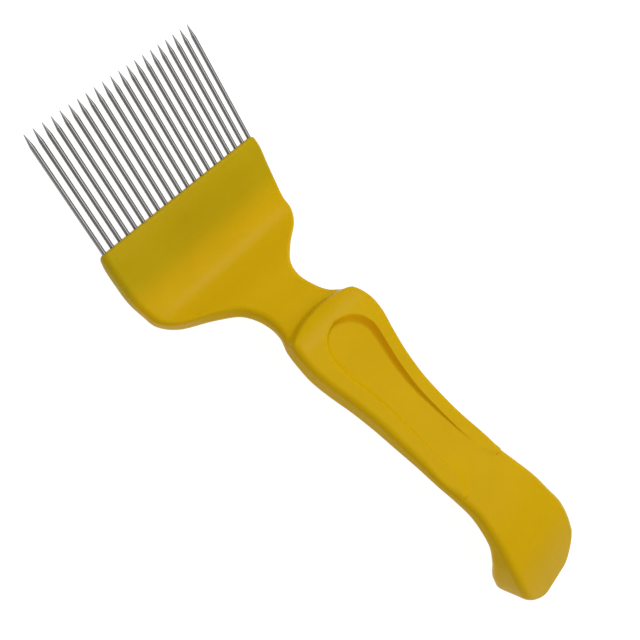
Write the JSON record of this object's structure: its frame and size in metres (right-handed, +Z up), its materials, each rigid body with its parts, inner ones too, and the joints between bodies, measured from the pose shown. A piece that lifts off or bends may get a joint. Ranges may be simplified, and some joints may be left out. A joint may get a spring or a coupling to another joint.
{
  "type": "honey uncapping fork",
  "caption": "Moulded plastic fork with a cranked neck, a thumb hollow and a row of pointed steel wires for lifting wax caps off comb.",
  "frame": {"origin": "on the table under the fork, midway between its sides and between the needle points and the tail", "axes": "+Z up from the table, +Y towards the needle points, +X across the head"},
  "size_m": [0.0782, 0.2333, 0.043],
  "materials": {
    "handle_plastic": "semi-gloss golden yellow injection moulding",
    "needle_steel": "drawn stainless wire with a ground point"
  },
  "bodies": {
    "root": {"handle": "handle_plastic", "needle_01": "needle_steel", "needle_02": "needle_steel", "needle_03": "needle_steel", "needle_04": "needle_steel", "needle_05": "needle_steel", "needle_06": "needle_steel", "needle_07": "needle_steel", "needle_08": "needle_steel", "needle_09": "needle_steel", "needle_10": "needle_steel", "needle_11": "needle_steel", "needle_12": "needle_steel", "needle_13": "needle_steel", "needle_14": "needle_steel", "needle_15": "needle_steel", "needle_16": "needle_steel", "needle_17": "needle_steel", "needle_18": "needle_steel", "needle_19": "needle_steel", "needle_20": "needle_steel", "needle_21": "needle_steel"}
  },
  "joints": []
}
